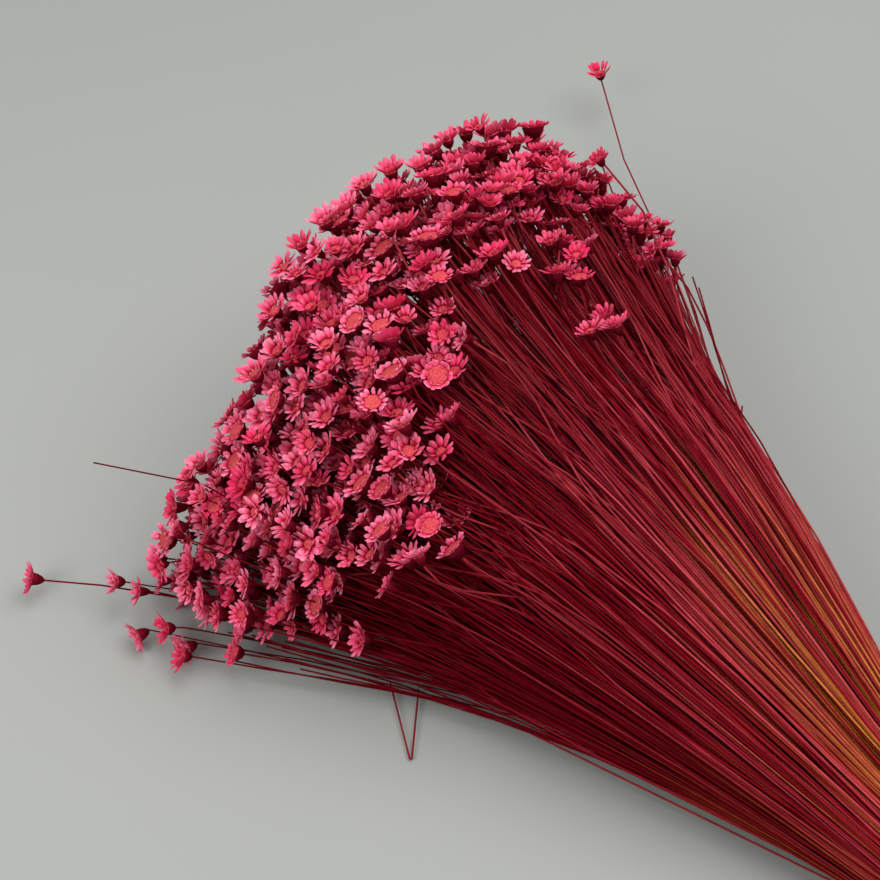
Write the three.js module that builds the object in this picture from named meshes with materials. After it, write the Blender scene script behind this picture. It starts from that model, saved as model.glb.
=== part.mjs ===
import * as THREE from 'three';

// A bunch of dried glixia lying on its side: some 270 thin straight stems, nearly all with one small
// star-shaped head, gathered by a band and fanned out from it. All sizes are in mm.
// X runs from the cut ends to the heads and Z is up. The bunch lies on the plane Z = 0.

// The band and the gathered stems
const TIE_X = 150;
const GATHER_RADIUS = 12.5;
const GATHER_HEIGHT = 14.3;
const BAND_X = 145;
const BAND_BORE = 12.8;
const BAND_WALL = 2;
const BAND_WIDTH = 9;
const BAND_GROOVE = 0.35;
const BAND_SIDES = 28;
const CUT_SPREAD = 1.5;
const CUT_FLATTEN = 0.72;
const MIN_CUT = 1;
const TAIL_RAGGED = 7;
const CORE_RAGGED = 6;
const RINGS = 5;
const SIDE_GAP = 0.16;
const ROW_STEP = 1.04;
const COLUMN_STEP = 1.14;
const ROW_SHIFT = -0.1;

// The fan of stems from the band to the heads
const FAN_LENGTH = 236;
const LEFT_REACH = 93;
const RIGHT_REACH = 110;
const FAN_HEIGHT = 107;
const FLOOR_ROW = 5.2;
const LEFT_LOBE = 0.32;
const RIGHT_LOBE = -0.1;
const LOBE_HEIGHT = 25;
const CROWN_DROP = 24;
const LEFT_SKEW = 9;
const RIGHT_TURN = 2.4;
const RIGHT_DROP = 12;
const KNEE_AT = 0.5;
const KNEE_SPACING = 1.9;
const SPRAY_SPACING = 1.42;
const STEM_SPACING = 1;
const FLARE = 1.15;
const LOWEST_KNEE = 1.2;
const EASE_ROUNDS = 40;

// The heads
const END_SPACING = 8.6;
const END_COUNT = 112;
const END_EDGE = 0.68;
const END_DEPTH = 9;
const SIDE_SPACING = 7.1;
const SIDE_COUNT = 162;
const SIDE_EDGE = 0.89;
const ARC_RADIUS = 100;
const MOST_TRIES = 20000;
const HEAD_RADIUS = 5.4;
const HEAD_DEPTH = 4.7;
const OPEN_TURN = 1.3;
const OPEN_LEAN = 1.5;
const SHUT_LEAN = 0.5;
const SIDE_UP = 0.45;
const SHUT_UP = 0.8;
const NOTCH = 0.5;
const NOTCH_DROP = 0.7;
const DISC_DROP = 0.5;
const GAP = 0.3;
const LET_DOWN = 2.4;
const BUD_RADIUS = 2.7;
const BUD_DEPTH = 4.8;
const PUSH_BACK = 1.8;
const LIFT_OFF = 0.9;
const SLIDES = [0, 1.3, -1.3, 2.6, -2.6];

// Stem thickness, as the distance from its middle to a corner of its three-sided section
const STEM_ROOT = 0.45;
const STEM_KNEE = 0.52;
const STEM_NECK = 0.5;

// The core of a spray, inside and just in front of the band
const CORE_REAR = 138;
const CORE_FRONT = 153.5;
const CORE_WALL = 0.06;

// Dips and rises of the crown's edge: the turn round it, the width and the height of each
const WAVES = [
  [0.78, 0.3, -22],
  [2.35, 0.4, 5],
];

// Single heads that sit well back on the outer layer: their turn round it and how far back
const LONERS = [
  [0.24, 54],
  [0.82, 48],
  [1.05, 45],
  [1.27, 46],
  [1.68, 33],
  [1.9, 64],
];

// How deep the heads lie on the outer layer: the turn round it, from the floor on the left over the
// top to the floor on the right, and the distance back from the crown
const BAND_DEPTHS = [
  [0, 16],
  [0.15, 26],
  [0.3, 37],
  [0.45, 31],
  [0.65, 42],
  [0.9, 39],
  [1.2, 34],
  [1.5, 28],
  [1.7, 20],
  [1.95, 20],
  [2.25, 27],
  [2.5, 42],
  [2.8, 26],
  [3.15, 13],
];

// Stems that leave the bunch, from the knee on. One with a rim carries a head, which faces along the
// axis. The others are broken off, and one of those is folded back on itself.
const STRAYS = [
  { u: 0.83, v: 0.04, path: [[346, 78, 9], [375, 98, 7]], rim: [390, 112, 8], axis: [0.7, 0.7, 0.15] },
  { u: 0.885, v: 0.12, path: [[342, 78, 16]], rim: [371, 97, 12], axis: [0.5, 0.8, 0.3] },
  { u: 0.95, v: 0.03, path: [[330, 81, 7]], rim: [356, 101, 7], axis: [0.2, 0.95, -0.1] },
  { u: 0.87, v: 0.006, path: [[322, 71, 2]], rim: [344, 94, 6], axis: [0.1, 0.9, 0.2] },
  { u: 0.86, v: 0.44, path: [[355, 73, 49], [378, 91, 52]] },
  { u: 0.99, v: 0.01, path: [[294, 53, 2], [279, 69, 1], [279.6, 69.2, 1], [300, 58, 2]] },
  {
    u: -0.99,
    v: 0.03,
    path: [[294, -75, 6], [330, -95, 6], [373, -119, 9], [398, -132, 10]],
    rim: [430, -152, 18],
    axis: [0.2, 0.1, 0.95],
  },
  { u: -0.99, v: 0.07, path: [[294, -74, 9], [298, -79, 11]] },
  { u: -0.98, v: 0.12, path: [[348, -100, 14]], rim: [362, -114, 15], axis: [0.5, -0.5, 0.7], bud: true },
];

const SEED = 1927;

const wine = new THREE.Color(0.36, 0.05, 0.11);
const cream = new THREE.Color(0.62, 0.5, 0.33);

function makeDraw(seed) {
  let state = seed;
  return () => {
    state = (state * 48271) % 2147483647;
    return state / 2147483647;
  };
}

const add = (a, b, k = 1) => [a[0] + b[0] * k, a[1] + b[1] * k, a[2] + b[2] * k];
const sub = (a, b) => [a[0] - b[0], a[1] - b[1], a[2] - b[2]];
const dot = (a, b) => a[0] * b[0] + a[1] * b[1] + a[2] * b[2];
const length = (a) => Math.sqrt(dot(a, a));
const unit = (a) => add([0, 0, 0], a, 1 / length(a));
const cross = (a, b) => [
  a[1] * b[2] - a[2] * b[1],
  a[2] * b[0] - a[0] * b[2],
  a[0] * b[1] - a[1] * b[0],
];

// Where the line of a stem meets the plane at the full length of the fan. The stems fill half a disc
// that stands on the floor: u runs from the right side (-1) to the left side (1), v is the height.
function farPlace(u, v, withLobe) {
  const reach = u > 0 ? LEFT_REACH : RIGHT_REACH;
  const share = u > 0 ? LEFT_LOBE : RIGHT_LOBE;
  const lobe = withLobe ? share * Math.exp((-v * FAN_HEIGHT) / LOBE_HEIGHT) : 0;
  return [u * reach * (1 + lobe), FLOOR_ROW + v * FAN_HEIGHT];
}

// The same place on the full disc of stems inside the band: p to the left, q up.
function discPlace(u, v) {
  return [u, 2 * v - Math.sqrt(Math.max(0, 1 - u * u))];
}

// How far along the bunch the heads reach: a flat dome, set back on both sides, with a dip between the
// upper heads and the lobe on the left and a rise on the upper right.
function crownX(u, v) {
  const [p, q] = discPlace(u, v);
  const r2 = Math.min(1, p * p + q * q);
  const turn = Math.atan2(v, u);
  const dome = CROWN_DROP * (1 - Math.sqrt(1 - 0.95 * r2));
  const left = LEFT_SKEW * Math.max(0, u);
  const wave = WAVES.reduce((sum, [at, wide, high]) => {
    return sum + high * r2 * Math.exp(-(((turn - at) / wide) ** 2));
  }, 0);
  const right = RIGHT_DROP * THREE.MathUtils.smoothstep(turn, RIGHT_TURN, Math.PI);
  return TIE_X + FAN_LENGTH - dome - left - right + wave;
}

// How far back from the crown the heads of the outer layer reach at a turn.
function bandDepth(turn) {
  const next = BAND_DEPTHS.findIndex(([at]) => at >= turn);
  const [high, deep] = BAND_DEPTHS[next];
  const [low, from] = BAND_DEPTHS[Math.max(0, next - 1)];
  return THREE.MathUtils.mapLinear(turn, low, high + 1e-6, from, deep);
}

// Heads over the end of the bunch and heads over its outer layer, each kept apart from the others.
function scatter(draw) {
  const list = [];
  let tries = 0;
  while (list.length < END_COUNT && tries < MOST_TRIES) {
    tries += 1;
    const u = 2 * draw() - 1;
    const v = draw();
    if (u * u + v * v > END_EDGE) {
      continue;
    }
    const [y, z] = farPlace(u, v, true);
    if (list.every((f) => Math.hypot(y - f.far[0], z - f.far[1]) > END_SPACING)) {
      list.push({ u, v, far: [y, z], back: END_DEPTH * draw() * draw(), side: false });
    }
  }
  const spots = [];
  const addSide = (turn, back) => {
    const r = SIDE_EDGE + (1 - SIDE_EDGE) * Math.min(1, back / bandDepth(turn));
    const u = r * Math.cos(turn);
    const v = r * Math.sin(turn);
    spots.push({ arc: turn * ARC_RADIUS, back });
    list.push({ u, v, far: farPlace(u, v, true), back, side: true });
  };
  LONERS.forEach(([turn, back]) => addSide(turn, back));
  tries = 0;
  while (spots.length < SIDE_COUNT && tries < MOST_TRIES) {
    tries += 1;
    const turn = 0.02 + 3.1 * draw();
    const share = draw();
    const back = bandDepth(turn) * share;
    const arc = turn * ARC_RADIUS;
    if (spots.every((s) => Math.hypot(arc - s.arc, back - s.back) > SIDE_SPACING)) {
      addSide(turn, back);
    }
  }
  for (const stray of STRAYS) {
    list.push({ ...stray, far: farPlace(stray.u, stray.v, true), side: true });
  }
  return list;
}

// Inside the band the stems lie in rings of cells, 2, 6, 10, 14 and 18 of them. Each cell holds one
// spray of five or six stems, in an inner and an outer row.
function gather(flowers) {
  for (const f of flowers) {
    const [p, q] = discPlace(f.u, f.v);
    f.disc = Math.hypot(p, q) + (f.side ? 0.02 : 0);
    f.turn = Math.atan2(p, -q);
  }
  const ranked = [...flowers].sort((a, b) => a.disc - b.disc);
  const cells = [];
  let start = 0;
  for (let ring = 0; ring < RINGS; ring += 1) {
    const sectors = 4 * ring + 2;
    const last = Math.round((ranked.length * (ring + 1) * (ring + 1)) / (RINGS * RINGS));
    const members = ranked.slice(start, last).sort((a, b) => a.turn - b.turn);
    start = last;
    for (let s = 0; s < sectors; s += 1) {
      const from = Math.round((members.length * s) / sectors);
      const to = Math.round((members.length * (s + 1)) / sectors);
      const cell = { ring, sector: s, sectors, flowers: members.slice(from, to) };
      cell.flowers.forEach((f) => {
        f.cell = cells.length;
      });
      placeRoots(cell);
      cells.push(cell);
    }
  }
  return cells;
}

// A place inside the band, from its distance to the middle and its turn from straight down.
function discPoint(radius, turn) {
  return [radius * Math.sin(turn), GATHER_HEIGHT - radius * Math.cos(turn)];
}

function placeRoots(cell) {
  const step = GATHER_RADIUS / RINGS;
  const middle = (cell.ring + 0.5) * step + (cell.ring === 0 ? 0.12 : 0);
  const turn = -Math.PI + (2 * Math.PI * (cell.sector + 0.5)) / cell.sectors;
  const byDisc = [...cell.flowers].sort((a, b) => a.disc - b.disc);
  const inner = byDisc.slice(0, Math.floor(byDisc.length / 2)).sort((a, b) => a.turn - b.turn);
  const outer = byDisc.slice(inner.length).sort((a, b) => a.turn - b.turn);
  const rows = [
    { list: inner, radius: middle - ROW_STEP / 2, spread: cell.ring === 0 ? 0.8 : 1, shift: ROW_SHIFT },
    { list: outer, radius: middle + ROW_STEP / 2, spread: 1, shift: 0 },
  ];
  for (const row of rows) {
    row.list.forEach((f, i) => {
      const column = (i - (row.list.length - 1) / 2) * COLUMN_STEP * row.spread + row.shift;
      f.hub = discPoint(row.radius, turn + column / row.radius);
    });
  }
}

// The middle line of a stem: from the band to a knee, and on towards its far place.
function lay(f) {
  const plain = farPlace(f.u, f.v, false);
  const bend = Math.pow(KNEE_AT, FLARE);
  f.knee = [
    TIE_X + FAN_LENGTH * KNEE_AT,
    f.hub[0] + (plain[0] - f.hub[0]) * bend,
    f.hub[1] + (plain[1] - f.hub[1]) * KNEE_AT,
  ];
}

function aim(f) {
  if (f.path) {
    f.away = unit(sub(f.path[f.path.length - 1], f.path[f.path.length - 2] || f.knee));
    return;
  }
  f.away = unit(sub([TIE_X + FAN_LENGTH, f.far[0], f.far[1]], f.knee));
}

// A head is a star-edged cup: its tip sits on the stem, its rim faces along the axis.
function poseHead(f, back, lift, slide) {
  const x = crownX(f.u, f.v) - back;
  const along = (x - f.knee[0]) / f.away[0];
  const out = unit([0, f.u, f.v + 0.05]);
  const level = [0, -out[2], out[1]];
  setHead(f, add(add(add(f.knee, f.away, along), out, lift), level, slide));
  restHead(f);
}

// A head that is low over the floor is let down onto it, and one that is in the floor is lifted.
function restHead(f) {
  const low = Math.min(...headPoints(f).map((point) => point[2]));
  if (low < LET_DOWN) {
    setHead(f, add(f.rim, [0, 0, 0.02 - low]));
  }
}

function setHead(f, rim) {
  f.rim = rim;
  f.tip = add(rim, f.axis, -f.depth);
  f.tip[2] = Math.max(f.tip[2], 0.6);
  f.line = [f.knee, ...(f.path || []), f.tip];
}

// Stems that come too close between the band and their knees are eased apart at the knee. Two
// stems of one spray may stand closer than two of different sprays.
function spreadKnees(flowers) {
  for (let round = 0; round < EASE_ROUNDS; round += 1) {
    for (let i = 0; i < flowers.length; i += 1) {
      for (let j = i + 1; j < flowers.length; j += 1) {
        const f = flowers[i];
        const g = flowers[j];
        const hy = g.hub[0] - f.hub[0];
        const hz = g.hub[1] - f.hub[1];
        const ky = g.knee[1] - f.knee[1] - hy;
        const kz = g.knee[2] - f.knee[2] - hz;
        const nearest = -(hy * ky + hz * kz) / (ky * ky + kz * kz + 1e-9);
        const at = Math.min(1, Math.max(0.05, nearest));
        const dy = hy + ky * at;
        const dz = hz + kz * at;
        const far = Math.sqrt(dy * dy + dz * dz) + 1e-6;
        const want = at === 1 ? KNEE_SPACING : f.cell === g.cell ? STEM_SPACING : SPRAY_SPACING;
        if (far < want) {
          const push = (0.3 * (want - far)) / (far * Math.max(0.2, at));
          f.knee[1] -= dy * push;
          f.knee[2] = Math.max(f.knee[2] - dz * push, LOWEST_KNEE);
          g.knee[1] += dy * push;
          g.knee[2] = Math.max(g.knee[2] + dz * push, LOWEST_KNEE);
        }
      }
    }
  }
}

function headPoints(f) {
  const points = [f.tip, f.rim];
  for (let k = 0; k < 2 * f.petals; k += 1) {
    const turn = (Math.PI * (k + 2 * f.phase)) / f.petals;
    const radius = k % 2 ? f.radius * NOTCH : f.radius;
    const reach = add(add([0, 0, 0], f.e1, radius * Math.cos(turn)), f.e2, radius * Math.sin(turn));
    points.push(add(f.rim, reach));
    if (k % 2 === 0) {
      points.push(add(f.rim, reach, 0.75), add(f.rim, reach, 0.5));
      points.push(add(add(f.tip, sub(f.rim, f.tip), 0.5), reach, 0.5));
    }
  }
  return points;
}

// Is a point, thickened by a margin, inside the cup of a head?
function inCup(f, point, margin) {
  const from = sub(point, f.tip);
  const high = dot(from, f.axis);
  if (high < -margin || high > f.depth + margin) {
    return false;
  }
  const y = dot(from, f.e1);
  const z = dot(from, f.e2);
  const wide = Math.sqrt(y * y + z * z);
  const share = Math.min(1, Math.max(0, high) / f.depth);
  const tipRadius = STEM_NECK + (f.radius - STEM_NECK) * share;
  if ((wide - tipRadius) * 0.68 > margin) {
    return false;
  }
  const notch = STEM_NECK + (f.radius * NOTCH - STEM_NECK) * share;
  if (wide < notch + margin) {
    return true;
  }
  const step = Math.PI / f.petals;
  const turn = Math.atan2(z, y) / step - 2 * f.phase;
  const off = Math.abs(turn - 2 * Math.round(turn / 2)) * step;
  // Distance to the edge of the nearest petal, a line from its tip to its notch.
  const px = wide * Math.cos(off) - tipRadius;
  const py = wide * Math.sin(off);
  const ex = notch * Math.cos(step) - tipRadius;
  const ey = notch * Math.sin(step);
  const span = Math.sqrt(ex * ex + ey * ey);
  const at = Math.min(1, Math.max(0, (px * ex + py * ey) / (span * span)));
  const gap = Math.hypot(px - ex * at, py - ey * at);
  const inside = ex * py - ey * px > 0;
  return inside || gap * 0.8 < margin;
}

// Does a straight stem pass through the cup of a head?
function stemHits(f, a, b, margin) {
  const ha = dot(sub(a, f.tip), f.axis);
  const hb = dot(sub(b, f.tip), f.axis);
  let from = 0;
  let to = 1;
  const span = hb - ha;
  if (Math.abs(span) > 1e-6) {
    const one = (-margin - ha) / span;
    const two = (f.depth + margin - ha) / span;
    from = Math.max(0, Math.min(one, two));
    to = Math.min(1, Math.max(one, two));
  }
  if (from > to) {
    return false;
  }
  for (let k = 0; k <= 12; k += 1) {
    const at = from + ((to - from) * k) / 12;
    if (inCup(f, add(a, sub(b, a), at), margin)) {
      return true;
    }
  }
  return false;
}

function headsMeet(f, g) {
  return (
    headPoints(f).some((point) => inCup(g, point, GAP)) ||
    headPoints(g).some((point) => inCup(f, point, GAP))
  );
}

// Does any length of one stem's line pass through the head of another?
function lineHits(f, line) {
  if (!f.rim) {
    return false;
  }
  for (let k = 0; k + 1 < line.length; k += 1) {
    if (stemHits(f, line[k], line[k + 1], GAP + STEM_KNEE)) {
      return true;
    }
  }
  return false;
}

function isClear(f, placed) {
  for (const g of placed) {
    if (g.rim && length(sub(f.rim, g.rim)) < 15 && headsMeet(f, g)) {
      return false;
    }
    if (lineHits(f, g.line) || lineHits(g, f.line)) {
      return false;
    }
  }
  return true;
}

function placeHeads(flowers, draw) {
  for (const f of flowers) {
    const reach = Math.hypot(f.u, f.v);
    const out = [0, f.u / (reach + 0.01), f.v / (reach + 0.01)];
    const open = Math.atan2(f.v, f.u) < OPEN_TURN;
    const most = open ? OPEN_LEAN : SHUT_LEAN;
    const lean = f.side ? (open ? 0.4 : 0.1) + most * draw() : (0.1 + 0.4 * draw()) * reach;
    const sway = [0.3 * (draw() - 0.5), 0.9 * (draw() - 0.5), 0.9 * (draw() - 0.5)];
    const up = [0, 0, f.side ? (open ? SIDE_UP : SHUT_UP) : 0.1];
    f.radius = HEAD_RADIUS * (0.88 + 0.2 * draw());
    f.depth = HEAD_DEPTH * (f.radius / HEAD_RADIUS);
    f.phase = draw();
    f.petals = f.side ? 7 : 6;
    if (f.bud) {
      f.radius = BUD_RADIUS;
      f.depth = BUD_DEPTH;
      f.petals = 5;
    }
    f.axis = f.path ? unit(f.axis || f.away) : unit(add(add(add(f.away, out, lean), sway), up));
    f.e1 = unit(cross([0, 0, 1], f.axis));
    f.e2 = cross(f.axis, f.e1);
  }
  const placed = flowers.filter((f) => f.path);
  for (const f of placed) {
    if (f.rim) {
      setHead(f, f.rim);
      restHead(f);
    } else {
      f.line = [f.knee, ...f.path];
    }
  }
  const order = flowers.filter((f) => !f.path);
  order.sort((a, b) => crownX(b.u, b.v) - b.back - crownX(a.u, a.v) + a.back);
  for (const f of order) {
    if (!settleHead(f, placed)) {
      throw new Error('a head finds no clear place: widen the spacing of the heads');
    }
    placed.push(f);
  }
}

// Tries a head where it belongs, then slid sideways, then lifted off the others, then further back.
function settleHead(f, placed) {
  for (let push = 0; push < 8; push += 1) {
    for (let rise = 0; rise < (f.side ? 11 : 3); rise += 1) {
      for (const slide of SLIDES) {
        poseHead(f, f.back + push * PUSH_BACK, rise * LIFT_OFF, slide);
        if (isClear(f, placed)) {
          return true;
        }
      }
    }
  }
  return false;
}

const draw = makeDraw(SEED);
const flowers = scatter(draw);
const cells = gather(flowers);
flowers.forEach(lay);
spreadKnees(flowers);
flowers.forEach(aim);
placeHeads(flowers, draw);

// A mesh under way: its points, and its faces as triples of point numbers, outward ones.
const points = [];
const faces = [];

function toMesh(name, color) {
  const geometry = new THREE.BufferGeometry();
  geometry.setAttribute('position', new THREE.BufferAttribute(new Float32Array(points.flat()), 3));
  geometry.setIndex(new THREE.BufferAttribute(new Uint32Array(faces.flat()), 1));
  geometry.computeVertexNormals();
  const material = new THREE.MeshStandardMaterial({ color, roughness: 0.75, metalness: 0 });
  const part = new THREE.Mesh(geometry, material);
  part.name = name;
  points.length = 0;
  faces.length = 0;
  return part;
}

// Two rings of points, the first numbers given, joined by a band of faces.
function joinRings(a, b, count) {
  for (let k = 0; k < count; k += 1) {
    const n = (k + 1) % count;
    faces.push([a + k, a + n, b + n], [a + k, b + n, b + k]);
  }
}

// A ring of three points across a stem. Its turn about the stem is the same at every ring.
function stemRing(point, normal, radius) {
  const side = unit(cross([0, 0, 1], normal));
  const other = cross(normal, side);
  const first = points.length;
  for (let k = 0; k < 3; k += 1) {
    const turn = (2 * Math.PI * k) / 3 + Math.PI / 2;
    points.push(add(add(point, side, radius * Math.cos(turn)), other, radius * Math.sin(turn)));
  }
  return first;
}

// A flat end of a spray's core, with a three-sided hole for every stem that grows out of it.
function endFace(outline, holes, forward) {
  const flat = (k) => new THREE.Vector2(points[k][1], points[k][2]);
  const order = [...outline, ...holes.flat()];
  const found = THREE.ShapeUtils.triangulateShape(
    outline.map(flat),
    holes.map((hole) => hole.map(flat)),
  );
  for (const [a, b, c] of found) {
    const [i, j, k] = [order[a], order[b], order[c]];
    const way = cross(sub(points[j], points[i]), sub(points[k], points[i]))[0];
    faces.push(way > 0 === forward ? [i, j, k] : [i, k, j]);
  }
}

// The star-edged cup of a head, grown onto the last ring of its stem.
function growHead(f, neck) {
  const { e1, e2 } = f;
  const count = 2 * f.petals;
  const rim = points.length;
  const turnOf = (k) => (2 * Math.PI * (k + 2 * f.phase)) / count;
  const nearest = (k) => (Math.round(((turnOf(k) - Math.PI / 2) * 3) / (2 * Math.PI)) + 6) % 3;
  for (let k = 0; k < count; k += 1) {
    const radius = k % 2 ? f.radius * NOTCH : f.radius;
    const spot = add(add(f.rim, e1, radius * Math.cos(turnOf(k))), e2, radius * Math.sin(turnOf(k)));
    points.push(add(spot, f.axis, k % 2 ? -NOTCH_DROP : 0));
  }
  points.push(add(f.rim, f.axis, -DISC_DROP));
  for (let k = 0; k < count; k += 1) {
    const n = (k + 1) % count;
    const a = nearest(k);
    const b = nearest(n);
    faces.push([neck + a, rim + n, rim + k]);
    if (a !== b) {
      faces.push([neck + a, neck + b, rim + n]);
    }
    faces.push([rim + k, rim + n, rim + count]);
  }
}

// A stem from its ring at the core, through every point of its line, to its head or broken end.
function growStem(f, start, root) {
  let before = start;
  let last = root;
  f.line.forEach((point, k) => {
    const end = k + 1 === f.line.length;
    const way = unit(sub(point, before));
    const next = end ? (f.rim ? f.axis : way) : unit(sub(f.line[k + 1], point));
    const ring = stemRing(point, unit(add(way, next)), end ? STEM_NECK : STEM_KNEE);
    joinRings(last, ring, 3);
    last = ring;
    before = point;
  });
  if (f.rim) {
    growHead(f, last);
  } else {
    faces.push([last, last + 1, last + 2]);
  }
}

// The band round the stems, with two shallow grooves. Its underside is flat, where it rests.
function growBand() {
  const half = BAND_WIDTH / 2;
  const outer = BAND_BORE + BAND_WALL;
  const low = outer - BAND_GROOVE;
  const profile = [
    [-half, BAND_BORE],
    [-half, low],
    [-half * 0.8, outer],
    [-half * 0.42, outer],
    [-half * 0.33, low],
    [-half * 0.24, outer],
    [half * 0.24, outer],
    [half * 0.33, low],
    [half * 0.42, outer],
    [half * 0.8, outer],
    [half, low],
    [half, BAND_BORE],
  ];
  const count = profile.length;
  for (let k = 0; k < BAND_SIDES; k += 1) {
    const turn = (2 * Math.PI * k) / BAND_SIDES;
    for (const [x, radius] of profile) {
      const [y, z] = discPoint(radius, turn);
      points.push([BAND_X + x, y, Math.max(0, z)]);
    }
    const a = k * count;
    const b = ((k + 1) % BAND_SIDES) * count;
    for (let i = 0; i < count; i += 1) {
      const n = (i + 1) % count;
      faces.push([a + i, b + n, a + n], [a + i, b + i, b + n]);
    }
  }
}

// The outline of a cell inside the band, moved in by the gap on every side.
function cellOutline(cell) {
  const step = GATHER_RADIUS / RINGS;
  const outer = (cell.ring + 1) * step - SIDE_GAP;
  const inner = cell.ring * step + SIDE_GAP;
  const from = -Math.PI + (2 * Math.PI * cell.sector) / cell.sectors;
  const to = -Math.PI + (2 * Math.PI * (cell.sector + 1)) / cell.sectors;
  const a = from + SIDE_GAP / outer;
  const b = to - SIDE_GAP / outer;
  const spots = cell.ring === 0
    ? [0, 1, 2, 3].map((k) => [outer, a + ((b - a) * k) / 3])
    : [
      [outer, a],
      [outer, (a + b) / 2],
      [outer, b],
      [inner, to - SIDE_GAP / inner],
      [inner, from + SIDE_GAP / inner],
    ];
  return spots.map(([radius, turn]) => discPoint(radius, turn));
}

function cutPlace([y, z]) {
  const high = (z - GATHER_HEIGHT) * CUT_SPREAD;
  return [y * CUT_SPREAD, GATHER_HEIGHT + (high < 0 ? high * CUT_FLATTEN : high)];
}

// An outline with its edges moved out where they must be, so that every stem stands inside it.
function coverStems(outline, stems) {
  const count = outline.length;
  const edges = outline.map((a, k) => {
    const b = outline[(k + 1) % count];
    const span = Math.hypot(b[0] - a[0], b[1] - a[1]);
    const out = [(b[1] - a[1]) / span, (a[0] - b[0]) / span];
    const reach = stems.map((s) => s[1] * out[0] + s[2] * out[1] + STEM_ROOT + CORE_WALL);
    return { out, far: Math.max(a[0] * out[0] + a[1] * out[1], ...reach) };
  });
  return edges.map((edge, k) => {
    const before = edges[(k + count - 1) % count];
    const area = before.out[0] * edge.out[1] - before.out[1] * edge.out[0];
    return [
      (before.far * edge.out[1] - edge.far * before.out[1]) / area,
      (before.out[0] * edge.far - edge.out[0] * before.far) / area,
    ];
  });
}

// One spray: a short core inside the band, its stems and heads in front of it, and behind it either
// its stems again or, for a spray inside the bunch, one plain strand.
function growSpray(cell, single) {
  const outline = cellOutline(cell);
  const count = outline.length;
  const at = (CORE_FRONT - TIE_X) / (FAN_LENGTH * KNEE_AT);
  const stems = cell.flowers.map((f) => {
    const from = [TIE_X, f.hub[0], f.hub[1]];
    return add(from, sub(f.knee, from), at);
  });
  const shift = [0, 0];
  cell.flowers.forEach((f, i) => {
    shift[0] += (stems[i][1] - f.hub[0]) / stems.length;
    shift[1] += (stems[i][2] - f.hub[1]) / stems.length;
  });
  const moved = outline.map((s) => [s[0] + shift[0], s[1] + shift[1]]);
  const front = coverStems(moved, stems).map((s) => [CORE_FRONT, ...s]);
  const cut = MIN_CUT + CORE_RAGGED * draw();
  const sections = [
    outline.map((s) => [CORE_REAR, s[0], s[1]]),
    outline.map((s) => [TIE_X, s[0], s[1]]),
    front,
  ];
  if (!single) {
    sections.unshift(outline.map((s) => [cut, ...cutPlace(s)]));
  }
  points.push(...sections.flat());
  for (let i = 0; i + 1 < sections.length; i += 1) {
    joinRings(i * count, (i + 1) * count, count);
  }
  const numbers = outline.map((s, k) => k);
  const ends = [];
  if (single) {
    for (const f of cell.flowers) {
      const near = stemRing([CORE_REAR, f.hub[0], f.hub[1]], [1, 0, 0], STEM_ROOT);
      const end = MIN_CUT + TAIL_RAGGED * draw();
      const far = stemRing([end, ...cutPlace(f.hub)], [1, 0, 0], STEM_NECK);
      joinRings(far, near, 3);
      faces.push([far, far + 2, far + 1]);
      ends.push([near, near + 1, near + 2]);
    }
  }
  endFace(numbers, ends, false);
  const holes = [];
  cell.flowers.forEach((f, i) => {
    const root = stemRing(stems[i], [1, 0, 0], STEM_ROOT);
    holes.push([root, root + 1, root + 2]);
    growStem(f, stems[i], root);
  });
  endFace(numbers.map((k) => k + (sections.length - 1) * count), holes, true);
}

const bunch = new THREE.Group();
bunch.name = 'glixia_bunch';
cells.forEach((cell, index) => {
  growSpray(cell, cell.ring === RINGS - 1);
  bunch.add(toMesh(`spray_${String(index + 1).padStart(2, '0')}`, wine));
});
growBand();
bunch.add(toMesh('band', cream));

// The frame's origin is under the middle of the whole bunch.
const box = new THREE.Box3().setFromObject(bunch);
for (const part of bunch.children) {
  part.geometry.translate(-(box.min.x + box.max.x) / 2, -(box.min.y + box.max.y) / 2, -box.min.z);
}

export default bunch;
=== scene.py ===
import math
import random

import bmesh
import bpy
from bpy.props import FloatProperty, FloatVectorProperty, IntProperty, PointerProperty
from bpy.types import Operator, Panel, PropertyGroup
from mathutils import Matrix, Vector


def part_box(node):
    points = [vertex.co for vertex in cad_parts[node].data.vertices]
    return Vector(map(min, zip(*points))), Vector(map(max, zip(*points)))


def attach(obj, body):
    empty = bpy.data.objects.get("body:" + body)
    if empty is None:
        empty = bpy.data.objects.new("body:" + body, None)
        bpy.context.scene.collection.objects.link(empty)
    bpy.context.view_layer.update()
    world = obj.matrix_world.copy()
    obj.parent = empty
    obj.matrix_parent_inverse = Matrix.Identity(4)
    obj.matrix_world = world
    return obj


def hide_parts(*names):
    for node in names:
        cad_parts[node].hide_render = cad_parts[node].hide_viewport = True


bl_info = {
    "name": "Dried glixia bunch",
    "version": (1, 0, 0),
    "blender": (4, 5, 0),
    "location": "View3D > Sidebar > Glixia",
    "description": "Dresses the bunch's solids with stems, flower heads and a wound rubber band",
    "category": "Add Mesh",
}

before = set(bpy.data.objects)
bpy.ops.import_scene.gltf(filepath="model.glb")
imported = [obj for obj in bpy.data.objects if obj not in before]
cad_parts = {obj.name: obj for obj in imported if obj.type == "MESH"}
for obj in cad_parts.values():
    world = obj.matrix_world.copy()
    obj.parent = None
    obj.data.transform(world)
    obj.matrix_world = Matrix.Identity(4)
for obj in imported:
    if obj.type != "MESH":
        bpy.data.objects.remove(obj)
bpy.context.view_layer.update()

MM = 0.001
HAIR = 0.05 * MM
SEED = 1916

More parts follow.
